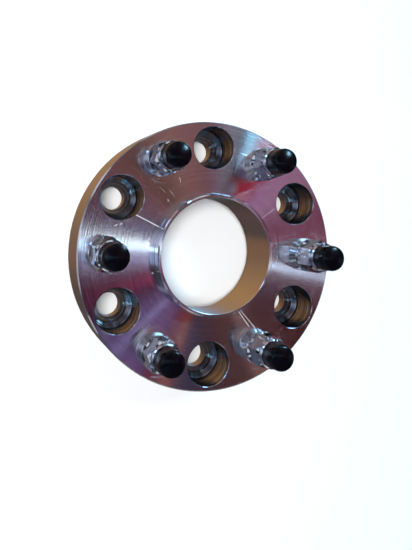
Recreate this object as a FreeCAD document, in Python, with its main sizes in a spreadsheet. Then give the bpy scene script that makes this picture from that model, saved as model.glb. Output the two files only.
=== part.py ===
# A bolt-on, hub-centric wheel spacer for a six-stud hub, as one parametric document.
#
# It lies on its hub side. +Z is the wheel's axis and points out of the wheel side,
# the origin is the centre of the flat hub-side face, and lengths are in millimetres.
# The billet is one turned and drilled solid. Six studs are pressed in from the hub side,
# each carries a lug nut run down onto the wheel-side face, and a soft cap over its end.

import FreeCAD, Part
import os

import Sketcher
from FreeCAD import Placement, Rotation, Vector

os.makedirs("parts", exist_ok=True)
doc = FreeCAD.newDocument("wheel_spacer")

# Driving sizes: alias, value, what it measures
SIZES = (
    ("disc_dia", 174, "outside of the billet"),
    ("disc_thick", 38, "wheel-side face above hub-side face"),
    ("rim_bevel", 0.8, "edge break on both outer rims"),
    ("lip_dia", 78.1, "hub lip that centres the wheel"),
    ("lip_rise", 11, "hub lip above the wheel-side face"),
    ("lip_bevel", 0.8, "lead-in on the outside of the lip"),
    ("lip_bore_dia", 73.6, "bore through the lip and the web behind it"),
    ("lip_bore_bevel", 0.3, "edge break inside the lip"),
    ("relief_wide", 0.8, "turned relief round the foot of the lip"),
    ("relief_deep", 0.4, "depth of that relief"),
    ("register_dia", 78.2, "hub-side recess that fits over the hub"),
    ("register_depth", 16, "depth of the hub-side recess"),
    ("register_bevel", 6.5, "lead-in of the hub-side recess"),
    ("circle_dia", 139.7, "pitch circle of lug holes and of studs"),
    ("lug_count", 6, "lug holes, and as many studs"),
    ("pocket_dia", 28.2, "socket clearance over each lug hole"),
    ("pocket_depth", 22, "straight depth of that clearance"),
    ("pocket_bevel", 0.4, "edge break at its mouth"),
    ("tip_angle", 118, "cone that the clearance drill leaves"),
    ("seat_dia", 22, "large end of the conical nut seat"),
    ("seat_angle", 60, "cone angle of the nut seat, and of the nut"),
    ("lug_hole_dia", 15.5, "clearance hole for the hub's own stud"),
    ("lug_hole_bevel", 0.6, "edge break on the hub side"),
    ("stud_hole_dia", 15, "hole that the stud's knurl is pressed into"),
    ("head_pocket_dia", 25, "recess for the stud's head, from the hub side"),
    ("head_pocket_depth", 20, "depth of that recess"),
    ("head_pocket_bevel", 0.5, "edge break of that recess"),
    ("stud_head_dia", 22, "round head of the stud"),
    ("stud_head_thick", 3.5, "thickness of the head"),
    ("stud_head_bevel", 0.8, "edge break of the head"),
    ("knurl_long", 13, "length of the knurled shank"),
    ("thread_dia", 13.9, "crests of the stud's thread"),
    ("thread_bevel", 1.2, "lead-in at the stud's end"),
    ("stud_reach", 34.8, "stud's end above the wheel-side face"),
    ("nut_flats", 19, "across the flats of the hexagon"),
    ("nut_tall", 24, "height of the nut"),
    ("nut_bore_dia", 14, "bore of the nut over the stud's crests"),
    ("nut_bore_bevel", 0.4, "edge break at the top of that bore"),
    ("foot_dia", 16.1, "small end of the nut's seat, which bears on the face"),
    ("flare_dia", 22, "widest part of the nut, above its seat"),
    ("flare_band", 1.3, "straight part of the flare"),
    ("flare_round", 0.6, "rounding of the flare's edges"),
    ("hex_start", 8.8, "height where the flats stand clear of the flare"),
    ("hex_top", 20.7, "height of the top of the flats"),
    ("hex_bevel_drop", 2, "how far the crown runs down the corners"),
    ("collar_dia", 18.6, "turned collar on top of the hexagon"),
    ("collar_bevel", 0.8, "edge break of the collar"),
    ("cap_dia", 16.5, "outside of the soft cap"),
    ("cap_bore_dia", 14, "inside of the cap"),
    ("cap_tall", 13.2, "length of the cap"),
    ("cap_end_wall", 2, "closed end of the cap"),
    ("cap_round", 2.4, "rounding of its closed end"),
    ("cap_mouth_round", 0.4, "rounding of its open end"),
)

# Degrees each nut stopped at past a flat-outward stance, in order round the circle
NUT_TURNS = (20, 18, 0, 48, 47, 0)

sheet = doc.addObject("Spreadsheet::Sheet", "sizes")
for row, (alias, value, meaning) in enumerate(SIZES, start=1):
    sheet.set("A%d" % row, alias)
    sheet.set("B%d" % row, str(value))
    sheet.set("C%d" % row, meaning)
    sheet.setAlias("B%d" % row, alias)
doc.recompute()


def number(formula):
    """The value of a formula on the sheet, such as 'sizes.disc_dia / 2'."""
    return float(sheet.evalExpression(formula))


def new_body(label):
    body = doc.addObject("PartDesign::Body", label)
    body.Label = label
    return body


def origin_feature(body, role):
    for feature in body.Origin.OriginFeatures:
        if feature.Role == role:
            return feature
    raise ValueError("no origin feature " + role)


def new_sketch(body, name, role):
    sketch = body.newObject("Sketcher::SketchObject", name)
    sketch.AttachmentSupport = [(origin_feature(body, role), "")]
    sketch.MapMode = "FlatFace"
    return sketch


def place_corner(sketch, line, across, up):
    """Hold the start of a line at two formulas; a formula of '0' puts it on an axis."""
    horizontal_axis, vertical_axis, root_point = -1, -2, 1
    if across == "0":
        sketch.addConstraint(Sketcher.Constraint("PointOnObject", line, 1, vertical_axis))
    else:
        held = Sketcher.Constraint("DistanceX", horizontal_axis, root_point, line, 1, number(across))
        sketch.setExpression("Constraints[%d]" % sketch.addConstraint(held), across)
    if up == "0":
        sketch.addConstraint(Sketcher.Constraint("PointOnObject", line, 1, horizontal_axis))
    else:
        held = Sketcher.Constraint("DistanceY", horizontal_axis, root_point, line, 1, number(up))
        sketch.setExpression("Constraints[%d]" % sketch.addConstraint(held), up)


def draw_outline(sketch, corners):
    """A closed outline through corners, each a pair of formulas on the sheet."""
    points = [Vector(number(across), number(up), 0) for across, up in corners]
    lines = []
    for start, end in zip(points, points[1:] + points[:1]):
        lines.append(sketch.addGeometry(Part.LineSegment(start, end), False))
    for line, following in zip(lines, lines[1:] + lines[:1]):
        sketch.addConstraint(Sketcher.Constraint("Coincident", line, 2, following, 1))
    for line, (across, up) in zip(lines, corners):
        place_corner(sketch, line, across, up)


def revolve(body, sketch, name, kind="PartDesign::Revolution"):
    """Turn a sketch a full circle about the body's own Z axis."""
    feature = body.newObject(kind, name)
    feature.Profile = sketch
    feature.ReferenceAxis = (origin_feature(body, "Z_Axis"), [""])
    feature.Angle = 360
    sketch.Visibility = False
    doc.recompute()
    return feature


def drill(body, sketch, axis_across, name, pattern_name):
    """Cut a stepped hole from its half-section, then repeat it round the pitch circle."""
    low = Vector(number(axis_across), 0, 0)
    high = Vector(number(axis_across), number("sizes.disc_thick"), 0)
    axis = sketch.addGeometry(Part.LineSegment(low, high), True)
    sketch.addConstraint(Sketcher.Constraint("Vertical", axis))
    place_corner(sketch, axis, axis_across, "0")
    sketch.addConstraint(Sketcher.Constraint("DistanceY", axis, 1, axis, 2, high.y))
    before = body.Shape.Volume
    hole = body.newObject("PartDesign::Groove", name)
    hole.Profile = sketch
    hole.ReferenceAxis = (sketch, ["Axis0"])
    hole.Angle = 360
    doc.recompute()
    one = before - body.Shape.Volume
    pattern = body.newObject("PartDesign::PolarPattern", pattern_name)
    pattern.Originals = [hole]
    pattern.Axis = (origin_feature(body, "Z_Axis"), [""])
    pattern.Angle = 360
    pattern.setExpression("Occurrences", "sizes.lug_count")
    body.Tip = pattern
    doc.recompute()
    every = before - body.Shape.Volume
    print("%s: one cut %.0f mm3, all cuts %.0f mm3" % (name, one, every))
    return pattern


def round_edges(body, base, name, radius, keep):
    """Round the edges of a feature for which keep(edge) is true."""
    chosen = []
    for index, edge in enumerate(base.Shape.Edges, start=1):
        if keep(edge):
            chosen.append("Edge%d" % index)
    feature = body.newObject("PartDesign::Fillet", name)
    feature.Base = (base, chosen)
    feature.setExpression("Radius", radius)
    doc.recompute()
    return feature


def is_circle(edge, radius, height=None):
    """Whether an edge is a full circle of this radius about Z, at this height if one is given."""
    if not isinstance(edge.Curve, Part.Circle) or abs(edge.Curve.Radius - radius) > 1e-4:
        return False
    return height is None or abs(edge.Curve.Center.z - height) < 1e-4


def make_billet():
    """The turned disc with its hub lip, hub recess, lug holes and stud holes."""
    body = new_body("spacer_body")

    rim = "sizes.disc_dia / 2"
    top = "sizes.disc_thick"
    lip = "sizes.lip_dia / 2"
    lip_top = "sizes.disc_thick + sizes.lip_rise"
    bore = "sizes.lip_bore_dia / 2"
    register = "sizes.register_dia / 2"
    section = new_sketch(body, "billet_section", "XZ_Plane")
    draw_outline(section, (
        (register + " + sizes.register_bevel", "0"),
        (rim + " - sizes.rim_bevel", "0"),
        (rim, "sizes.rim_bevel"),
        (rim, top + " - sizes.rim_bevel"),
        (rim + " - sizes.rim_bevel", top),
        (lip + " + sizes.relief_wide", top),
        (lip + " + sizes.relief_wide / 2", top + " - sizes.relief_deep"),
        (lip, top + " - sizes.relief_deep"),
        (lip, lip_top + " - sizes.lip_bevel"),
        (lip + " - sizes.lip_bevel", lip_top),
        (bore + " + sizes.lip_bore_bevel", lip_top),
        (bore, lip_top + " - sizes.lip_bore_bevel"),
        (bore, "sizes.register_depth"),
        (register, "sizes.register_depth"),
        (register, "sizes.register_bevel"),
    ))
    revolve(body, section, "billet")

    axis = "sizes.circle_dia / 2"
    pocket = axis + " + sizes.pocket_dia / 2"
    floor = "sizes.disc_thick - sizes.pocket_depth"
    tip_drop = "(sizes.pocket_dia - sizes.seat_dia) / 2 / tan(sizes.tip_angle / 2)"
    seat_drop = "(sizes.seat_dia - sizes.lug_hole_dia) / 2 / tan(sizes.seat_angle / 2)"
    seat_top = floor + " - " + tip_drop
    lug_hole = axis + " + sizes.lug_hole_dia / 2"
    section = new_sketch(body, "lug_hole_section", "XZ_Plane")
    halfway = Rotation(Vector(0, 1, 0), 180 / number("sizes.lug_count"))
    section.AttachmentOffset = Placement(Vector(0, 0, 0), halfway)
    draw_outline(section, (
        (axis, top),
        (pocket + " + sizes.pocket_bevel", top),
        (pocket, top + " - sizes.pocket_bevel"),
        (pocket, floor),
        (axis + " + sizes.seat_dia / 2", seat_top),
        (lug_hole, seat_top + " - " + seat_drop),
        (lug_hole, "sizes.lug_hole_bevel"),
        (lug_hole + " + sizes.lug_hole_bevel", "0"),
        (axis, "0"),
    ))
    drill(body, section, axis, "lug_hole", "lug_holes")

    stud_hole = axis + " + sizes.stud_hole_dia / 2"
    head_pocket = axis + " + sizes.head_pocket_dia / 2"
    section = new_sketch(body, "stud_hole_section", "XZ_Plane")
    draw_outline(section, (
        (axis, top),
        (stud_hole, top),
        (stud_hole, "sizes.head_pocket_depth"),
        (head_pocket, "sizes.head_pocket_depth"),
        (head_pocket, "sizes.head_pocket_bevel"),
        (head_pocket + " + sizes.head_pocket_bevel", "0"),
        (axis, "0"),
    ))
    drill(body, section, axis, "stud_hole", "stud_holes")
    return body


def make_stud(label):
    """A pressed-in stud: round head, knurled shank, threaded end with a lead-in."""
    body = new_body(label)
    head = "sizes.stud_head_dia / 2"
    seat = "sizes.head_pocket_depth"
    head_end = seat + " - sizes.stud_head_thick"
    knurl = "sizes.stud_hole_dia / 2"
    knurl_end = seat + " + sizes.knurl_long"
    thread = "sizes.thread_dia / 2"
    end = "sizes.disc_thick + sizes.stud_reach"
    section = new_sketch(body, label + "_section", "XZ_Plane")
    draw_outline(section, (
        ("0", head_end),
        (head + " - sizes.stud_head_bevel", head_end),
        (head, head_end + " + sizes.stud_head_bevel"),
        (head, seat),
        (knurl, seat),
        (knurl, knurl_end),
        (thread, knurl_end + " + " + knurl + " - " + thread),
        (thread, end + " - sizes.thread_bevel"),
        (thread + " - sizes.thread_bevel", end),
        ("0", end),
    ))
    revolve(body, section, label + "_turned")
    return body


def make_nut(label):
    """A lug nut: conical seat, flare, hexagon with a crowned top, and a turned collar."""
    body = new_body(label)

    flare = "sizes.flare_dia / 2"
    flare_low = "(sizes.flare_dia - sizes.foot_dia) / 2 / tan(sizes.seat_angle / 2)"
    flare_high = flare_low + " + sizes.flare_band"
    collar = "sizes.collar_dia / 2"
    section = new_sketch(body, label + "_section", "XZ_Plane")
    draw_outline(section, (
        ("0", "0"),
        ("sizes.foot_dia / 2", "0"),
        (flare, flare_low),
        (flare, flare_high),
        (collar, "sizes.hex_start"),
        (collar, "sizes.nut_tall - sizes.collar_bevel"),
        (collar + " - sizes.collar_bevel", "sizes.nut_tall"),
        ("0", "sizes.nut_tall"),
    ))
    turned = revolve(body, section, label + "_turned")
    widest = number(flare)
    round_edges(body, turned, label + "_flare_round", "sizes.flare_round",
                lambda edge: is_circle(edge, widest))

    flat = "sizes.nut_flats / 2"
    half_side = "sizes.nut_flats / 2 / sqrt(3)"
    side = "sizes.nut_flats / sqrt(3)"
    hexagon = new_sketch(body, label + "_hexagon", "XY_Plane")
    hexagon.AttachmentOffset = Placement(Vector(0, 0, number(flare_high)), Rotation())
    hexagon.setExpression("AttachmentOffset.Base.z", flare_high)
    draw_outline(hexagon, (
        (flat, "-" + half_side),
        (flat, half_side),
        ("0", side),
        ("-" + flat, half_side),
        ("-" + flat, "-" + half_side),
        ("0", "-" + side),
    ))
    pad = body.newObject("PartDesign::Pad", label + "_flats")
    pad.Profile = hexagon
    pad.setExpression("Length", "sizes.hex_top - (" + flare_high + ")")
    doc.recompute()

    bevel_out = side + " + 1"
    bevel_slope = "sizes.hex_bevel_drop / (" + side + " - " + collar + ")"
    corner = new_sketch(body, label + "_crown_section", "XZ_Plane")
    draw_outline(corner, (
        (collar, "sizes.hex_top"),
        (bevel_out, "sizes.hex_top"),
        (bevel_out, "sizes.hex_top - (" + bevel_out + " - " + collar + ") * " + bevel_slope),
    ))
    revolve(body, corner, label + "_crown", "PartDesign::Groove")

    bore = "sizes.nut_bore_dia / 2"
    hollow = new_sketch(body, label + "_bore_section", "XZ_Plane")
    draw_outline(hollow, (
        ("0", "0"),
        (bore, "0"),
        (bore, "sizes.nut_tall - sizes.nut_bore_bevel"),
        (bore + " + sizes.nut_bore_bevel", "sizes.nut_tall"),
        ("0", "sizes.nut_tall"),
    ))
    revolve(body, hollow, label + "_bore", "PartDesign::Groove")
    return body


def make_cap(label):
    """A moulded cap with a closed, rounded end, pushed over the stud against the nut."""
    body = new_body(label)
    outside = "sizes.cap_dia / 2"
    inside = "sizes.cap_bore_dia / 2"
    ceiling = "sizes.cap_tall - sizes.cap_end_wall"
    section = new_sketch(body, label + "_section", "XZ_Plane")
    draw_outline(section, (
        (inside, "0"),
        (outside, "0"),
        (outside, "sizes.cap_tall"),
        ("0", "sizes.cap_tall"),
        ("0", ceiling),
        (inside, ceiling),
    ))
    moulded = revolve(body, section, label + "_moulded")
    wide, tall = number(outside), number("sizes.cap_tall")
    rounded = round_edges(body, moulded, label + "_end_round", "sizes.cap_round",
                          lambda edge: is_circle(edge, wide, tall))
    round_edges(body, rounded, label + "_mouth_round", "sizes.cap_mouth_round",
                lambda edge: is_circle(edge, wide, 0))
    return body


def stand_on_circle(body, index, height, turn=0.0):
    """Set a piece on the pitch circle, turned to face outwards plus its own turn."""
    angle = 360 * index / number("sizes.lug_count")
    body.Placement = Placement(Vector(0, 0, 0), Rotation(Vector(0, 0, 1), angle + turn))
    body.setExpression("Placement.Base.x", "sizes.circle_dia / 2 * cos(%g)" % angle)
    body.setExpression("Placement.Base.y", "sizes.circle_dia / 2 * sin(%g)" % angle)
    body.setExpression("Placement.Base.z", height)


pieces = [make_billet()]
for index, turn in enumerate(NUT_TURNS):
    stud = make_stud("wheel_stud_%d" % (index + 1))
    stand_on_circle(stud, index, "0")
    nut = make_nut("lug_nut_%d" % (index + 1))
    stand_on_circle(nut, index, "sizes.disc_thick", turn)
    cap = make_cap("thread_cap_%d" % (index + 1))
    stand_on_circle(cap, index, "sizes.disc_thick + sizes.nut_tall")
    pieces += [stud, nut, cap]
doc.recompute()

for item in doc.Objects:
    bad = [word for word in item.State if word in ("Invalid", "Error")]
    if bad:
        raise RuntimeError("%s is %s" % (item.Label, bad))
for piece in pieces:
    shape = piece.Shape
    if shape.isNull() or not shape.isValid() or len(shape.Solids) != 1:
        raise RuntimeError("%s has no sound solid" % piece.Label)

for piece in pieces:
    piece.Shape.exportStep("parts/%s.step" % piece.Label)
    print("%-16s %9.1f mm3" % (piece.Label, piece.Shape.Volume))
reach = max(piece.Shape.BoundBox.ZMax for piece in pieces)
print("%d pieces, %.1f mm tall" % (len(pieces), reach))
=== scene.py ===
import math

import bmesh
import bpy
from mathutils import Matrix, Vector


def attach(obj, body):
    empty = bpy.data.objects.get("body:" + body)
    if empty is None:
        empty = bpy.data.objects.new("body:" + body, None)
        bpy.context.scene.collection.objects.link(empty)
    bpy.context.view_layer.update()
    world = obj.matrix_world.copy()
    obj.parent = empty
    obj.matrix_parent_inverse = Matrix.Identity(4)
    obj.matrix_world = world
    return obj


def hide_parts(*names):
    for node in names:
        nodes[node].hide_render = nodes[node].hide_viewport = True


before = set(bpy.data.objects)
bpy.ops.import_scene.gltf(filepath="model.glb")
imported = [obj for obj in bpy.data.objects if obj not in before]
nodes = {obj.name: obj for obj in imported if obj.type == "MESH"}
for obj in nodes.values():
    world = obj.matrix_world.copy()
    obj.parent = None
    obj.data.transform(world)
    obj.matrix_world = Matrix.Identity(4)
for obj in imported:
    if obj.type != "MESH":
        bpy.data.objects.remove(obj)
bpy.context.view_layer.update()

MM = 0.001

# Sizes of the spacer in millimetres, from its axis and from the flat side that it lies on, and bearings in degrees.
FACE_HEIGHT = 38.0
OUTSIDE_RADIUS = 87.0
BORE_RADIUS = 36.8
BOLT_CIRCLE_RADIUS = 69.85
POCKET_RADIUS = 14.1
SEAT_RADIUS = 11.0
STATIONS = 6
STATION_STEP = 60.0
STUD_BEARING = 0.0
POCKET_BEARING = 30.0

# The camera looks down at about 70 degrees to the floor. Its place and sensor are in millimetres, its clips in metres.
CAMERA_PLACE = (51.07, -137.30, 424.01)
CAMERA_RIGHT = (-0.49408, 0.79980, 0.34089)
CAMERA_DOWN = (0.83377, 0.54700, -0.07494)
CAMERA_AHEAD = (-0.24640, 0.24720, -0.93711)
FOCAL_LENGTH_PX = 626.59
IMAGE_WIDTH_PX = 412
IMAGE_HEIGHT_PX = 550
OPTICAL_CENTRE_PX = (206.0, 160.0)
SENSOR_WIDTH = 36.0
CLIP_START = 0.01
CLIP_END = 50.0

# The studio round it, in metres.
FLOOR_REACH = 6.0
BACKDROP_RADIUS = 5.6
BACKDROP_HEIGHT = 5.0
BACKDROP_SEGMENTS = 96

# A Mix node has the same sockets for numbers, vectors and colours. These are the ones for colours.
MIX_SHARE, MIX_FIRST, MIX_SECOND, MIX_RESULT = 0, 6, 7, 2


class Wire:
    """One output of a node tree. Arithmetic on it adds Math nodes."""

    def __init__(self, finish, socket):
        self.finish = finish
        self.socket = socket

    def __add__(self, other):
        return self.finish.reckon("ADD", self, other)

    def __radd__(self, other):
        return self.finish.reckon("ADD", other, self)

    def __sub__(self, other):
        return self.finish.reckon("SUBTRACT", self, other)

    def __rsub__(self, other):
        return self.finish.reckon("SUBTRACT", other, self)

    def __mul__(self, other):
        return self.finish.reckon("MULTIPLY", self, other)

    def __rmul__(self, other):
        return self.finish.reckon("MULTIPLY", other, self)

    def __truediv__(self, other):
        return self.finish.reckon("DIVIDE", self, other)

    def __rtruediv__(self, other):
        return self.finish.reckon("DIVIDE", other, self)


class Finish:
    """A node tree that is being filled in."""

    def __init__(self, tree):
        self.tree = tree
        tree.nodes.clear()

    def node(self, kind, settings, sockets, output=0):
        """Adds a node, makes its settings, fills its sockets with values or wires, and gives one of its outputs."""
        made = self.tree.nodes.new(kind)
        for name, value in settings.items():
            if name == "stops":
                elements = made.color_ramp.elements
                elements.remove(elements[1])
                for count, (place, colour) in enumerate(value):
                    stop = elements.new(place) if count else elements[0]
                    stop.position = place
                    stop.color = (*colour, 1.0)
            else:
                setattr(made, name, value)
        for name, value in sockets.items():
            if isinstance(value, Wire):
                self.tree.links.new(value.socket, made.inputs[name])
            else:
                made.inputs[name].default_value = value
        return Wire(self, made.outputs[output]) if made.outputs else None

    def reckon(self, operation, *values):
        """A Math node on wires or numbers."""
        return self.node("ShaderNodeMath", {"operation": operation}, dict(enumerate(values)))

    def rise(self, value, low, high):
        """0 below low, 1 above high, and smooth between them."""
        return self.node("ShaderNodeMapRange", {"interpolation_type": "SMOOTHSTEP"},
                         {"Value": value, "From Min": low, "From Max": high})

    def fall(self, value, low, high):
        """1 below low, 0 above high, and smooth between them."""
        return 1.0 - self.rise(value, low, high)

    def blend(self, share, first, second):
        """Mixes two colours."""
        return self.node("ShaderNodeMix", {"data_type": "RGBA"},
                         {MIX_SHARE: share, MIX_FIRST: first, MIX_SECOND: second}, MIX_RESULT)

    def axes(self):
        """X, Y and Z on the piece in metres, or those of a direction in the studio."""
        where = self.node("ShaderNodeTexCoord", {}, {}, "Object")
        parts = self.node("ShaderNodeSeparateXYZ", {}, {0: where})
        return [Wire(self, socket) for socket in parts.socket.node.outputs]

    def place(self):
        """X, Y and Z on the piece, in millimetres."""
        return [part * (1.0 / MM) for part in self.axes()]

    def speckle(self, x, y, z, detail, roughness):
        """Noise between 0 and 1 that changes about once to each unit of x, y and z."""
        where = self.node("ShaderNodeCombineXYZ", {}, {0: x, 1: y, 2: z})
        return self.node("ShaderNodeTexNoise", {},
                         {"Vector": where, "Scale": 1.0, "Detail": detail, "Roughness": roughness})

    def grain(self, where, scale, detail, roughness):
        """Noise alike in all directions, which changes about that many times to the millimetre."""
        x, y, z = where
        return self.speckle(x * scale, y * scale, z * scale, detail, roughness)


def new_material(name):
    """A material and its node tree, still empty."""
    material = bpy.data.materials.new(name)
    material.use_nodes = True
    return material, Finish(material.node_tree)


def around_axis(radius, bearing):
    """The x and y of a point at that distance and bearing, in degrees."""
    turn = math.radians(bearing)
    return radius * math.cos(turn), radius * math.sin(turn)


def round_station(finish, radius, angle, first):
    """Distance from the nearest station on the bolt circle, and the angle off it. The first is at that bearing."""
    step = math.radians(STATION_STEP)
    off = finish.reckon("WRAP", angle - (math.radians(first) - step / 2), step, 0.0) - step / 2
    along = radius * finish.reckon("COSINE", off) - BOLT_CIRCLE_RADIUS
    across = radius * finish.reckon("SINE", off)
    return finish.reckon("SQRT", along * along + across * across), off


# Scribe lines, scratches and nicks on the face, each from one place to another, in millimetres and degrees: start
# radius and bearing, end radius and bearing, width, and strength from 0 to 1.
SCRATCHES = [
    (39.5, 274.6, 60.0, 274.6, 0.45, 0.80),
    (39.5, 154.4, 57.0, 154.4, 0.22, 0.45),
    (41.5, 58.4, 56.0, 60.8, 0.30, 0.90),
    (41.5, 60.3, 60.0, 64.2, 0.28, 0.75),
    (44.0, 129.0, 60.0, 129.0, 0.20, 0.30),
    (67.0, 285.3, 64.9, 283.9, 0.45, 0.60),
    (63.7, 283.6, 62.8, 282.4, 0.50, 0.60),
    (61.0, 285.5, 60.0, 286.5, 0.40, 0.50),
    (41.6, 317.3, 40.2, 316.7, 0.50, 0.60),
    (46.6, 251.6, 44.5, 252.1, 0.35, 0.50),
    (50.3, 246.0, 44.7, 245.6, 0.25, 0.40),
    (55.7, 250.5, 50.2, 249.7, 0.22, 0.35),
    (54.5, 235.1, 50.8, 236.3, 0.30, 0.50),
]

# A scratch fades in and out over this much each way, and starts to fade after this share of its length. It is full
# over this share of its width.
SCRATCH_FADE = 0.4
SCRATCH_FULL_LENGTH = 0.85
SCRATCH_FULL_WIDTH = 0.4


def scratch(finish, x, y, start, end, width):
    """1 on a straight line between two points of the face, fading out at its edges and ends."""
    run = Vector(end) - Vector(start)
    length = run.length
    run /= length
    along = x * run.x + (y * run.y - Vector(start).dot(run))
    across = finish.reckon("ABSOLUTE", x * run.y - (y * run.x + (start[0] * run.y - start[1] * run.x)))
    begun = finish.rise(along, -SCRATCH_FADE, SCRATCH_FADE)
    ended = finish.fall(along, length * SCRATCH_FULL_LENGTH - SCRATCH_FADE, length + SCRATCH_FADE)
    return finish.fall(across, width * SCRATCH_FULL_WIDTH, width) * (begun * ended)


def scored(finish, x, y, z):
    """All the scratches of the table, on the wheel side's face and not on the walls below it."""
    marks = 0.0
    for start_radius, start_bearing, end_radius, end_bearing, width, strength in SCRATCHES:
        start = around_axis(start_radius, start_bearing)
        end = around_axis(end_radius, end_bearing)
        marks = scratch(finish, x, y, start, end, width) * strength + marks
    return marks * finish.rise(z, FACE_HEIGHT - 0.6, FACE_HEIGHT - 0.2)


# Bare aluminium where it is duller and cleaner, on the crests and in the troughs of its lathe lines, on the rim and in
# the bore, where a warm tint also paints in part of the golden reflection that these walls show, and where it is
# scratched.
ALUMINIUM_DULL = (0.74, 0.71, 0.73, 1.0)
ALUMINIUM_CLEAN = (0.80, 0.77, 0.79, 1.0)
LATHE_CREST = (0.93, 0.92, 0.95, 1.0)
LATHE_TROUGH = (0.58, 0.54, 0.56, 1.0)
WALL_TONE_AND_WARM_REFLECTION = (0.86, 0.82, 0.76, 1.0)
SCRATCHED = (0.95, 0.95, 0.97, 1.0)
# How many marks there are to a millimetre outwards, and how often they break off to a radian round the axis.
RINGS = (0.9, 0.12)
HAIRLINES = (2.4, 0.35)
NICKS = (2.2, 24.0)
# The same for the rub marks, outwards from the middle of a stud and to a millimetre along the face.
RUBS = (2.2, 0.05)
# Blotches to a millimetre: the clouds of the bare metal, and the patches that the wear comes in.
CLOUDS = 0.035
PATCHES = 0.06
# Where in its noise, from 0 to 1, each mark begins and is full, or the other way round for the troughs, and then how
# strong it is.
CREST_LEVELS = (0.45, 0.75)
TROUGH_LEVELS = (0.30, 0.55)
NICK_LEVELS = (0.68, 0.78)
NICK_PATCH_LEVELS = (0.48, 0.62)
RUB_LEVELS = (0.54, 0.70)
RUB_PATCH_LEVELS = (0.45, 0.60)
CREST_STRENGTH = 0.5
TROUGH_STRENGTH = 0.18
NICK_STRENGTH = 0.45
RUB_STRENGTH = 0.35
# The nuts have rubbed the face as far as the first of these from the middle of a stud, and not beyond the second.
RUBBED_RADII = (15.5, 19.0)
# Depth of the lathe lines, in metres, how much deeper the rings are than the hairlines, and the filter that keeps them
# fine, which the pockets share.
GROOVE_DEPTH = 0.00003
RING_DEPTH = 1.5
FINE_FILTER = 0.01


def turned_face(finish, where, radius, angle, from_stud, walls):
    """Lathe rings and hairlines, with scratches, nicks and the rub marks round each nut."""
    x, y, z = where
    rings = finish.speckle(radius * RINGS[0], angle * RINGS[1], z * RINGS[0], detail=1.0, roughness=0.5)
    hairlines = finish.speckle(radius * HAIRLINES[0], angle * HAIRLINES[1], z * HAIRLINES[0],
                               detail=1.0, roughness=0.5)
    clouds = finish.grain(where, CLOUDS, detail=3.0, roughness=0.55)
    metal = finish.blend(clouds, ALUMINIUM_DULL, ALUMINIUM_CLEAN)
    metal = finish.blend(finish.rise(hairlines, *CREST_LEVELS) * CREST_STRENGTH, metal, LATHE_CREST)
    metal = finish.blend(finish.fall(rings, *TROUGH_LEVELS) * TROUGH_STRENGTH, metal, LATHE_TROUGH)
    # The rim and the bore take their own lighter tone with a warm tint, which is a painted share of their golden
    # reflection.
    metal = finish.blend(walls, metal, WALL_TONE_AND_WARM_REFLECTION)

    # A plain number among the coordinates of a noise only picks another stretch of it.
    flats = 1.0 - walls
    patchy = finish.speckle(x * PATCHES, y * PATCHES, 3.0, detail=2.0, roughness=0.6)
    nicks = finish.speckle(radius * NICKS[0], angle * NICKS[1], z + 7.0, detail=2.0, roughness=0.6)
    nicks = finish.rise(nicks, *NICK_LEVELS) * finish.rise(patchy, *NICK_PATCH_LEVELS)
    rubs = finish.speckle(from_stud * RUBS[0], x * RUBS[1], y * RUBS[1], detail=2.0, roughness=0.6)
    rubs = finish.rise(rubs, *RUB_LEVELS) * finish.rise(patchy, *RUB_PATCH_LEVELS)
    marks = nicks * flats * NICK_STRENGTH + scored(finish, x, y, z)
    marks = rubs * (finish.fall(from_stud, *RUBBED_RADII) * flats) * RUB_STRENGTH + marks

    grooves = finish.node("ShaderNodeBump", {}, {
        "Distance": GROOVE_DEPTH,
        "Filter Width": FINE_FILTER,
        "Height": rings * RING_DEPTH + hairlines,
    })
    return finish.node("ShaderNodeBsdfPrincipled", {}, {
        "Base Color": finish.blend(marks, metal, SCRATCHED),
        "Metallic": 1.0 - marks * 0.6,
        "Roughness": 0.10 + hairlines * 0.02 + walls * 0.06 + marks * 0.2,
        "Anisotropic": 1.0,
        "Anisotropic Rotation": 0.25,
        "Normal": grooves,
    })


# The metal in the pockets: between the drill's rings, on them, and the dark colour of the shade that is painted into
# them.
DRILLED_DULL = (0.24, 0.23, 0.23, 1.0)
DRILLED_BRIGHT = (0.80, 0.79, 0.80, 1.0)
PAINTED_POCKET_SHADE = (0.10, 0.115, 0.14, 1.0)
# Rings of the drill to a millimetre, where in their noise they begin and are full, and the finer chatter between them,
# with its depth in metres.
DRILL_RINGS = 0.9
DRILL_RING_LEVELS = (0.42, 0.60)
CHATTER = 2.2
CHATTER_DEPTH = 0.00012
# Outwards from a pocket's seat come the cone that the drill's tip left, which begins between the first two of these
# distances from the pocket's middle, and the wall, which begins between the others.
CONE_RADII = (SEAT_RADIUS - 0.1, SEAT_RADIUS + 0.3)
WALL_RADII = (POCKET_RADIUS - 0.5, POCKET_RADIUS - 0.2)
# The shade in a pocket is painted into the metal's colour and fixed to it. It lies on the side of the wall that is
# uppermost in the camera's view, down to these distances below the pocket's middle, and all round the cone.
SHADED_LOWNESS = (-5.0, 3.0)
WALL_SHADE = 0.60
CONE_SHADE = 0.85
# It is eased on the cones that lie this far to the photograph's left of the axis.
LEFTWARD = (0.545, -0.839)
EASED_LEFTNESS = (20.0, 40.0)
CONE_SHADE_EASED = 0.35


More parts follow.
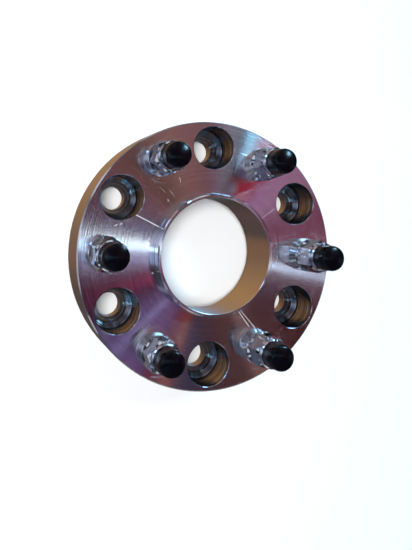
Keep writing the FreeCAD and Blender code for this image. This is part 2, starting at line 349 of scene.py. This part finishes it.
def drilled_pocket(finish, where, angle, from_pocket, off_pocket):
    """Bright rings of the drill, with painted shade on one side of the wall and on the cone that its tip left."""
    x, y, z = where
    rings = finish.speckle(from_pocket * DRILL_RINGS, 0.0, z * DRILL_RINGS, detail=3.0, roughness=0.65)
    chatter = finish.speckle(from_pocket * CHATTER, 1.0, z * CHATTER, detail=2.0, roughness=0.5)
    relief = finish.node("ShaderNodeBump", {}, {
        "Distance": CHATTER_DEPTH,
        "Filter Width": FINE_FILTER,
        "Height": chatter,
    })
    metal = finish.blend(finish.rise(rings, *DRILL_RING_LEVELS), DRILLED_DULL, DRILLED_BRIGHT)

    bearing = angle - off_pocket
    lowness = (x - BOLT_CIRCLE_RADIUS * finish.reckon("COSINE", bearing)) * CAMERA_DOWN[0]
    lowness = (y - BOLT_CIRCLE_RADIUS * finish.reckon("SINE", bearing)) * CAMERA_DOWN[1] + lowness
    leftness = x * LEFTWARD[0] + y * LEFTWARD[1]
    wall = finish.rise(from_pocket, *WALL_RADII)
    cone = finish.rise(from_pocket, *CONE_RADII) * (1.0 - wall)
    # Painted shade: the wall's upper side and the cone are darkened towards the pocket's painted shade colour.
    shade = finish.fall(lowness, *SHADED_LOWNESS) * wall * WALL_SHADE
    shade = cone * (CONE_SHADE - finish.rise(leftness, *EASED_LEFTNESS) * CONE_SHADE_EASED) + shade
    return finish.node("ShaderNodeBsdfPrincipled", {}, {
        "Base Color": finish.blend(shade, metal, PAINTED_POCKET_SHADE),
        "Metallic": 1.0,
        "Roughness": 0.07 + rings * 0.06,
        "Normal": relief,
    })


def turned_aluminium():
    """Bare billet with lathe rings on its faces, a smooth rim and bright drilled pockets."""
    material, finish = new_material("turned_aluminium")
    where = finish.place()
    x, y, _ = where
    radius = finish.reckon("SQRT", x * x + y * y)
    angle = finish.reckon("ARCTAN2", y, x)
    from_pocket, off_pocket = round_station(finish, radius, angle, POCKET_BEARING)
    from_stud, _ = round_station(finish, radius, angle, STUD_BEARING)

    # Each finish gives way to the next within a millimetre of an edge.
    on_rim = finish.rise(radius, OUTSIDE_RADIUS - 0.8, OUTSIDE_RADIUS - 0.4)
    in_bore = finish.fall(radius, BORE_RADIUS + 0.1, BORE_RADIUS + 0.4)
    in_pocket = finish.fall(from_pocket, POCKET_RADIUS, POCKET_RADIUS + 0.4) * (1.0 - on_rim)
    walls = finish.reckon("MAXIMUM", on_rim, in_bore)
    face = turned_face(finish, where, radius, angle, from_stud, walls)
    pocket = drilled_pocket(finish, where, angle, from_pocket, off_pocket)
    mixed = finish.node("ShaderNodeMixShader", {}, {0: in_pocket, 1: face, 2: pocket})
    finish.node("ShaderNodeOutputMaterial", {}, {"Surface": mixed})
    return material


CHROME = (0.60, 0.61, 0.64, 1.0)
# Handling marks and waves to a millimetre, where the marks begin and are full, and the depth of the waves in metres.
SMEARS = 0.4
SMEAR_LEVELS = (0.45, 0.80)
PLATE_WAVES = 0.3
PLATE_WAVE_DEPTH = 0.00015


def mirror_chrome():
    """Decorative plate on the nuts, with faint handling marks."""
    material, finish = new_material("mirror_chrome")
    where = finish.place()
    smears = finish.grain(where, SMEARS, detail=3.0, roughness=0.6)
    waves = finish.grain(where, PLATE_WAVES, detail=2.0, roughness=0.5)
    shader = finish.node("ShaderNodeBsdfPrincipled", {}, {
        "Base Color": CHROME,
        "Metallic": 1.0,
        "Roughness": 0.02 + finish.rise(smears, *SMEAR_LEVELS) * 0.06,
        "Normal": finish.node("ShaderNodeBump", {}, {"Distance": PLATE_WAVE_DEPTH, "Height": waves}),
    })
    finish.node("ShaderNodeOutputMaterial", {}, {"Surface": shader})
    return material


ZINC_DARK = (0.42, 0.42, 0.44, 1.0)
ZINC_PALE = (0.58, 0.57, 0.55, 1.0)
# Blotches to a millimetre.
ZINC_BLOTCHES = 0.3


def zinc_plate():
    """Plain plated steel for the studs."""
    material, finish = new_material("zinc_plate")
    blotches = finish.grain(finish.place(), ZINC_BLOTCHES, detail=3.0, roughness=0.6)
    shader = finish.node("ShaderNodeBsdfPrincipled", {}, {
        "Base Color": finish.blend(blotches, ZINC_DARK, ZINC_PALE),
        "Metallic": 1.0,
        "Roughness": 0.28 + blotches * 0.15,
    })
    finish.node("ShaderNodeOutputMaterial", {}, {"Surface": shader})
    return material


VINYL_DARK = (0.0003, 0.0006, 0.0013, 1.0)
VINYL_PALE = (0.0009, 0.0014, 0.0028, 1.0)
# Grains to a millimetre, round the cap and along it, and their depth in metres.
VINYL_GRAIN = (1.2, 0.6)
VINYL_GRAIN_DEPTH = 0.00002


def soft_black_cap():
    """Dipped vinyl with a wet-looking skin, its grain drawn out along the cap."""
    material, finish = new_material("soft_black_cap")
    x, y, z = finish.place()
    grain = finish.speckle(x * VINYL_GRAIN[0], y * VINYL_GRAIN[0], z * VINYL_GRAIN[1], detail=3.0, roughness=0.6)
    shader = finish.node("ShaderNodeBsdfPrincipled", {}, {
        "Base Color": finish.blend(grain, VINYL_DARK, VINYL_PALE),
        "Roughness": 0.12 + grain * 0.05,
        "Specular IOR Level": 0.25,
        "Normal": finish.node("ShaderNodeBump", {}, {"Distance": VINYL_GRAIN_DEPTH, "Height": grain}),
    })
    finish.node("ShaderNodeOutputMaterial", {}, {"Surface": shader})
    return material


# The backdrop's paint, and its own light where it is dimmer and brighter, with blotches to a millimetre.
BACKDROP_PAINT = (0.10, 0.10, 0.11, 1.0)
BACKDROP_DIM = (0.66, 0.69, 0.74, 1.0)
BACKDROP_BRIGHT = (0.72, 0.75, 0.80, 1.0)
BACKDROP_BLOTCHES = 0.0004


def pale_backdrop():
    """Studio wall behind the paper, lit by itself."""
    material, finish = new_material("studio_wall")
    wash = finish.grain(finish.place(), BACKDROP_BLOTCHES, detail=1.0, roughness=0.5)
    shader = finish.node("ShaderNodeBsdfPrincipled", {}, {
        "Base Color": BACKDROP_PAINT,
        "Roughness": 0.9,
        "Specular IOR Level": 0.0,
        "Emission Color": finish.blend(wash, BACKDROP_DIM, BACKDROP_BRIGHT),
        "Emission Strength": 1.0,
    })
    finish.node("ShaderNodeOutputMaterial", {}, {"Surface": shader})
    return material


PAPER_DARKER = (0.86, 0.86, 0.87, 1.0)
PAPER_LIGHTER = (0.88, 0.88, 0.89, 1.0)
# Blotches to a millimetre.
PAPER_TOOTH = 0.01
# The paper's own light further off, where the lamp reaches less, and where it begins and is full, in millimetres.
NO_GLOW = (0.0, 0.0, 0.0, 1.0)
PAPER_GLOW = (0.56, 0.51, 0.42, 1.0)
GLOW_RADII = (500.0, 2500.0)


def pale_floor():
    """Plain matt studio paper, which the lamp lights near the spacer and its own glow further off."""
    material, finish = new_material("studio_paper")
    where = finish.place()
    x, y, _ = where
    tooth = finish.grain(where, PAPER_TOOTH, detail=2.0, roughness=0.5)
    far_off = finish.rise(finish.reckon("SQRT", x * x + y * y), *GLOW_RADII)
    shader = finish.node("ShaderNodeBsdfPrincipled", {}, {
        "Base Color": finish.blend(tooth, PAPER_DARKER, PAPER_LIGHTER),
        "Roughness": 0.9,
        "Specular IOR Level": 0.1,
        "Emission Color": finish.blend(far_off, NO_GLOW, PAPER_GLOW),
        "Emission Strength": 1.0,
    })
    finish.node("ShaderNodeOutputMaterial", {}, {"Surface": shader})
    return material


def aim_camera():
    """Puts the camera at the photograph's viewing angle."""
    data = bpy.data.cameras.new("camera")
    data.sensor_width = SENSOR_WIDTH
    data.lens = FOCAL_LENGTH_PX / IMAGE_HEIGHT_PX * SENSOR_WIDTH
    data.shift_x = (IMAGE_WIDTH_PX / 2 - OPTICAL_CENTRE_PX[0]) / IMAGE_HEIGHT_PX
    data.shift_y = (OPTICAL_CENTRE_PX[1] - IMAGE_HEIGHT_PX / 2) / IMAGE_HEIGHT_PX
    data.clip_start = CLIP_START
    data.clip_end = CLIP_END
    camera = bpy.data.objects.new("camera", data)
    bpy.context.scene.collection.objects.link(camera)
    turn = Matrix((Vector(CAMERA_RIGHT), -Vector(CAMERA_DOWN), -Vector(CAMERA_AHEAD))).transposed()
    camera.matrix_world = Matrix.Translation(Vector(CAMERA_PLACE) * MM) @ turn.to_4x4()
    bpy.context.scene.camera = camera


# What the polished face sees of the studio. Each fan lists an angle, in degrees, round the direction in which the
# middle of the face mirrors the camera, and its light.
CEILING_GAIN = 1.3
CEILING_FAN = [
    (0, (0.076, 0.022, 0.036)),
    (7, (0.085, 0.020, 0.024)),
    (14, (0.040, 0.018, 0.034)),
    (20, (0.018, 0.020, 0.048)),
    (30, (0.042, 0.018, 0.026)),
    (46, (0.060, 0.026, 0.022)),
    (68, (0.042, 0.008, 0.006)),
    (90, (0.036, 0.004, 0.004)),
    (100, (0.062, 0.014, 0.022)),
    (106, (0.085, 0.022, 0.036)),
    (122, (0.180, 0.058, 0.090)),
    (130, (0.150, 0.040, 0.066)),
    (136, (0.130, 0.024, 0.048)),
    (150, (0.155, 0.054, 0.088)),
    (158, (0.225, 0.102, 0.150)),
    (171, (0.240, 0.125, 0.225)),
    (175, (0.175, 0.012, 0.034)),
    (183, (0.260, 0.001, 0.006)),
    (190, (0.160, 0.006, 0.012)),
    (194, (0.058, 0.054, 0.064)),
    (207, (0.142, 0.094, 0.138)),
    (215, (0.158, 0.072, 0.078)),
    (232, (0.198, 0.100, 0.094)),
    (249, (0.078, 0.040, 0.030)),
    (258, (0.114, 0.048, 0.046)),
    (268, (0.092, 0.044, 0.060)),
    (284, (0.066, 0.026, 0.034)),
    (300, (0.140, 0.130, 0.220)),
    (308, (0.062, 0.030, 0.044)),
    (316, (0.024, 0.010, 0.014)),
    (327, (0.020, 0.007, 0.022)),
    (338, (0.070, 0.036, 0.110)),
]
# Further from that direction it turns to grey, white and navy, which the nuts and the bored walls show.
OUTER_FAN = [
    (0, (0.200, 0.140, 0.150)),
    (14, (0.030, 0.030, 0.040)),
    (40, (0.060, 0.065, 0.085)),
    (70, (0.030, 0.035, 0.050)),
    (94, (0.080, 0.070, 0.075)),
    (110, (0.340, 0.350, 0.380)),
    (124, (0.040, 0.045, 0.060)),
    (150, (0.080, 0.090, 0.110)),
    (182, (0.030, 0.040, 0.060)),
    (206, (0.320, 0.400, 0.480)),
    (222, (0.060, 0.070, 0.090)),
    (240, (0.460, 0.380, 0.410)),
    (260, (0.240, 0.190, 0.200)),
    (274, (0.090, 0.100, 0.150)),
    (290, (0.600, 0.720, 0.940)),
    (303, (0.220, 0.200, 0.250)),
    (316, (0.040, 0.050, 0.070)),
    (344, (0.110, 0.130, 0.190)),
]
# Narrow soft boxes among them: the angle of the middle, half the width, the soft edge, where it starts and ends away
# from the mirror direction, and the light that it adds.
CEILING_PANELS = [
    (2.5, 1.4, 1.2, 0.02, 0.3, (0.060, 0.000, 0.000)),
    (10.5, 2.0, 1.4, 0.02, 9.0, (0.180, 0.040, 0.000)),
    (57.0, 4.0, 4.0, 0.06, 0.5, (0.140, 0.080, 0.074)),
    (110.3, 2.1, 1.2, 0.02, 0.19, (1.250, 1.800, 2.300)),
    (123.0, 6.0, 5.0, 0.02, 0.14, (0.160, 0.050, 0.080)),
    (164.0, 10.0, 8.0, 0.02, 0.15, (0.100, 0.090, 0.170)),
    (181.0, 5.0, 4.0, 0.02, 0.14, (0.120, 0.000, 0.000)),
    (188.5, 2.0, 1.6, 0.32, 1.2, (0.400, 3.000, 4.200)),
    (199.0, 5.0, 4.0, 0.34, 0.7, (0.380, 0.480, 0.560)),
    (244.0, 7.0, 6.0, 0.02, 0.12, (0.060, 0.034, 0.020)),
    (263.0, 8.0, 8.0, 0.02, 0.13, (0.070, 0.048, 0.064)),
    (280.0, 6.0, 5.0, 0.02, 0.08, (0.220, 0.480, 0.950)),
    (292.8, 2.5, 0.7, 0.02, 0.15, (3.000, 3.700, 3.800)),
    (296.2, 2.0, 0.8, 0.18, 0.9, (0.900, 1.400, 1.850)),
    (305.0, 6.0, 5.0, 0.02, 0.12, (0.400, 0.420, 0.740)),
    (305.0, 5.0, 3.0, 0.50, 0.75, (0.240, 0.460, 0.860)),
    (321.0, 4.5, 5.0, 0.02, 0.13, (0.380, 0.010, 0.090)),
    (335.0, 3.0, 2.0, 0.36, 0.6, (0.250, 0.300, 0.420)),
    (344.5, 1.8, 2.0, 0.02, 0.2, (0.280, 0.320, 0.560)),
    (353.0, 3.0, 3.0, 0.06, 0.5, (0.050, 0.030, 0.055)),
]
# Light straight in that direction, and how far from it, on a ceiling at height 1, each next light takes over.
MIRROR_TONE = (0.086, 0.030, 0.029, 1.0)
TONE_TO_FAN = (0.01, 0.07)
FAN_TO_OUTER_FAN = (0.42, 0.70)
# A panel fades in and out between these shares of its start and its end, and a window between these of its reach.
PANEL_START_FADE = (0.5, 1.5)
PANEL_END_FADE = (0.8, 1.2)
WINDOW_FADE = (0.7, 1.3)
# Windows, which the domed caps and the rounded edges catch: azimuth, height and reach, in degrees, and light.
WINDOWS = [
    (155.0, 49.0, 4.2, (18.0, 33.0, 45.0)),
    (176.0, 17.0, 15.0, (1.6, 3.4, 5.6)),
    (262.0, 24.0, 6.0, (1.2, 2.2, 3.6)),
    (40.0, 24.0, 6.0, (1.0, 1.4, 2.0)),
]
# Soft boxes that stand on the horizon: azimuth of the middle, half the width and the soft edge, in degrees.
HORIZON_BOXES = [
    (22.0, 16.0, 8.0),
    (75.0, 10.0, 4.0),
    (128.0, 20.0, 10.0),
    (176.0, 8.0, 3.0),
    (214.0, 14.0, 8.0),
    (262.0, 10.0, 4.0),
    (306.0, 18.0, 10.0),
    (343.0, 5.0, 2.0),
]
# What the rim and the bore see steeply below them: an angle round straight down, in degrees, and its light.
GROUND_FAN = [
    (0, (0.070, 0.048, 0.045)),
    (25, (0.110, 0.062, 0.062)),
    (45, (0.052, 0.038, 0.034)),
    (90, (0.060, 0.050, 0.050)),
    (118, (0.190, 0.290, 0.400)),
    (132, (0.380, 0.580, 0.880)),
    (150, (0.220, 0.270, 0.350)),
    (180, (0.360, 0.220, 0.110)),
    (225, (0.400, 0.220, 0.100)),
    (262, (0.300, 0.170, 0.084)),
    (300, (0.210, 0.115, 0.064)),
    (332, (0.200, 0.105, 0.062)),
    (340, (0.080, 0.056, 0.050)),
]
# Plain bands of the studio: round the fan below, just under the horizon, and the boxes on the horizon with the gaps
# between them.
VERGE = (0.260, 0.265, 0.280, 1.0)
SKIRTING = (0.030, 0.036, 0.050, 1.0)
HORIZON_GAP = (0.040, 0.052, 0.075, 1.0)
HORIZON_BOX = (0.80, 0.86, 0.95, 1.0)
# Where one band turns into the next, as the height of a direction between -1, straight down, and 1, straight up.
GROUND_TO_VERGE = (-0.75, -0.45)
VERGE_TO_SKIRTING = (-0.26, -0.12)
SKIRTING_TO_HORIZON = (-0.04, 0.02)
HORIZON_TO_CEILING = (0.08, 0.20)
# Below this height the pattern of the ceiling is stretched no further.
LOWEST_CEILING = 0.08


def turn_of(finish, across, along):
    """The angle of a direction, in turns from 0 to 1."""
    return finish.reckon("WRAP", finish.reckon("ARCTAN2", along, across) / math.tau, 1.0, 0.0)


def fan_of_light(finish, turn, fan):
    """Light that depends on the angle round one direction."""
    stops = [(angle / 360.0, colour) for angle, colour in fan]
    return finish.node("ShaderNodeValToRGB", {"stops": stops}, {"Fac": turn})


def turned_within(finish, turn, middle, half, soft):
    """1 near one angle and 0 away from it. The turn is in turns, and the others are in degrees."""
    away = finish.reckon("ABSOLUTE", finish.reckon("WRAP", turn * 360.0 - middle, 180.0, -180.0))
    return finish.fall(away, half - soft / 2, half + soft / 2)


def add_light(finish, light, share, colour):
    """Adds a share of a colour to the light."""
    return finish.node("ShaderNodeVectorMath", {"operation": "MULTIPLY_ADD"}, {0: colour, 1: share, 2: light})


def paint_ceiling(finish, x, y, z):
    """A dark ceiling with soft coloured panels, laid out round the way in which the face mirrors the camera."""
    height = finish.reckon("MAXIMUM", z, LOWEST_CEILING)
    drop = CAMERA_PLACE[2] - FACE_HEIGHT
    across = x / height + CAMERA_PLACE[0] / drop
    along = y / height + CAMERA_PLACE[1] / drop
    turn = turn_of(finish, across, along)
    away = finish.reckon("SQRT", across * across + along * along)
    light = finish.blend(finish.rise(away, *TONE_TO_FAN), MIRROR_TONE, fan_of_light(finish, turn, CEILING_FAN))
    light = finish.blend(finish.rise(away, *FAN_TO_OUTER_FAN), light, fan_of_light(finish, turn, OUTER_FAN))
    for middle, half, soft, start, end, colour in CEILING_PANELS:
        begun = finish.rise(away, start * PANEL_START_FADE[0], start * PANEL_START_FADE[1])
        ended = finish.fall(away, end * PANEL_END_FADE[0], end * PANEL_END_FADE[1])
        light = add_light(finish, light, turned_within(finish, turn, middle, half, soft) * begun * ended, colour)
    return finish.node("ShaderNodeVectorMath", {"operation": "SCALE"}, {0: light, "Scale": CEILING_GAIN})


def paint_windows(finish, light, x, y, z):
    """Adds the windows to the light of a direction."""
    for azimuth, height, reach, colour in WINDOWS:
        across, along = around_axis(math.cos(math.radians(height)), azimuth)
        facing = x * across + y * along + z * math.sin(math.radians(height))
        inner, outer = [math.cos(math.radians(reach * share)) for share in WINDOW_FADE]
        light = add_light(finish, light, finish.rise(facing, outer, inner), colour)
    return light


def light_studio():
    """Soft boxes on the horizon for the sides, and the ceiling for the polished face."""
    world = bpy.data.worlds.new("studio")
    bpy.context.scene.world = world
    world.use_nodes = True
    finish = Finish(world.node_tree)
    x, y, z = finish.axes()
    heading = turn_of(finish, x, y)
    boxes = 0.0
    for middle, half, soft in HORIZON_BOXES:
        boxes = turned_within(finish, heading, middle, half, soft) + boxes

    light = fan_of_light(finish, heading, GROUND_FAN)
    light = finish.blend(finish.rise(z, *GROUND_TO_VERGE), light, VERGE)
    light = finish.blend(finish.rise(z, *VERGE_TO_SKIRTING), light, SKIRTING)
    light = finish.blend(finish.rise(z, *SKIRTING_TO_HORIZON), light, finish.blend(boxes, HORIZON_GAP, HORIZON_BOX))
    light = finish.blend(finish.rise(z, *HORIZON_TO_CEILING), light, paint_ceiling(finish, x, y, z))
    light = paint_windows(finish, light, x, y, z)
    background = finish.node("ShaderNodeBackground", {}, {"Color": light, "Strength": 1.0})
    finish.node("ShaderNodeOutputWorld", {}, {"Surface": background})


# The lamp, in metres and watts.
LAMP_DISTANCE = 1.3
LAMP_SIZE = 0.4
LAMP_POWER = 16.4
LAMP_COLOUR = (1.0, 1.0, 0.95)


def hang_lamp():
    """A soft lamp behind the camera that lights the floor and the caps, and that no surface mirrors."""
    data = bpy.data.lights.new("overhead_fill", "AREA")
    data.shape = "DISK"
    data.size = LAMP_SIZE
    data.energy = LAMP_POWER
    data.color = LAMP_COLOUR
    lamp = bpy.data.objects.new("overhead_fill", data)
    towards = Vector(CAMERA_PLACE).normalized()
    lamp.location = towards * LAMP_DISTANCE
    lamp.rotation_euler = towards.to_track_quat("Z", "Y").to_euler()
    lamp.visible_glossy = False
    bpy.context.scene.collection.objects.link(lamp)


def make_object(name, shape, material):
    """A smooth object from a bmesh, which is then used up."""
    for face in shape.faces:
        face.smooth = True
    mesh = bpy.data.meshes.new(name)
    shape.to_mesh(mesh)
    shape.free()
    mesh.materials.append(material)
    made = bpy.data.objects.new(name, mesh)
    bpy.context.scene.collection.objects.link(made)
    return made


def lay_floor():
    """Paper that reaches past the backdrop."""
    sheet = bmesh.new()
    bmesh.ops.create_grid(sheet, x_segments=1, y_segments=1, size=FLOOR_REACH)
    floor = make_object("floor", sheet, pale_floor())
    floor.visible_glossy = False


def hang_backdrop():
    """A round wall that only the camera sees, so that low views end in a plain ground."""
    ring = bmesh.new()
    bmesh.ops.create_circle(ring, cap_ends=False, segments=BACKDROP_SEGMENTS, radius=BACKDROP_RADIUS)
    raised = bmesh.ops.extrude_edge_only(ring, edges=ring.edges[:])["geom"]
    top = [part for part in raised if isinstance(part, bmesh.types.BMVert)]
    bmesh.ops.translate(ring, verts=top, vec=(0.0, 0.0, BACKDROP_HEIGHT))
    wall = make_object("backdrop", ring, pale_backdrop())
    wall.visible_diffuse = False
    wall.visible_glossy = False
    wall.visible_transmission = False
    wall.visible_shadow = False


def dress(name, material):
    """Gives a CAD node its finish."""
    for slot in nodes[name].material_slots:
        slot.link = "OBJECT"
        slot.material = material


# Half section of a cap, in millimetres: distance from its axis, height, rounding of the corner and segments in it.
CAP_SECTION = [
    (0.0, 75.2, 0.0, 0),
    (3.8, 75.2, 3.5, 8),
    (8.0, 74.0, 3.0, 10),
    (8.25, 62.0, 0.5, 3),
    (7.0, 62.0, 0.3, 2),
    (7.0, 73.2, 0.6, 2),
    (0.0, 73.2, 0.0, 0),
]
CAP_STEPS = 64
# Points nearer to each other than this are merged, also in millimetres.
MERGE_DISTANCE = 0.001


def turn_section(section, steps, middle):
    """A solid of revolution from a half section, each corner rounded by its own amount, stood on that middle."""
    shape = bmesh.new()
    points = [shape.verts.new((along, 0.0, height)) for along, height, _, _ in section]
    for first, second in zip(points, points[1:]):
        shape.edges.new((first, second))
    for point, (_, _, offset, segments) in zip(points, section):
        if segments:
            bmesh.ops.bevel(shape, geom=[point], offset=offset, segments=segments, profile=0.5,
                            affect="VERTICES", material=-1)
    bmesh.ops.spin(shape, geom=shape.verts[:] + shape.edges[:], cent=(0.0, 0.0, 0.0), axis=(0.0, 0.0, 1.0),
                   angle=math.tau, steps=steps, use_merge=True)
    bmesh.ops.remove_doubles(shape, verts=shape.verts, dist=MERGE_DISTANCE)
    bmesh.ops.recalc_face_normals(shape, faces=shape.faces)
    bmesh.ops.translate(shape, verts=shape.verts, vec=(*middle, 0.0))
    bmesh.ops.scale(shape, verts=shape.verts, vec=(MM, MM, MM))
    return shape


def fit_cap(station, material):
    """A dipped thread cap with a domed end, over the nut at that station."""
    middle = around_axis(BOLT_CIRCLE_RADIUS, STUD_BEARING + (station - 1) * STATION_STEP)
    cap = make_object("domed_cap_%d" % station, turn_section(CAP_SECTION, CAP_STEPS, middle), material)
    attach(cap, "root")
    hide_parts("thread_cap_%d" % station)


aim_camera()
lay_floor()
hang_backdrop()
light_studio()
hang_lamp()

aluminium = turned_aluminium()
chrome = mirror_chrome()
zinc = zinc_plate()
vinyl = soft_black_cap()
dress("spacer_body", aluminium)
for station in range(1, STATIONS + 1):
    dress("wheel_stud_%d" % station, zinc)
    dress("lug_nut_%d" % station, chrome)
    fit_cap(station, vinyl)

bpy.context.scene.view_settings.view_transform = "Standard"
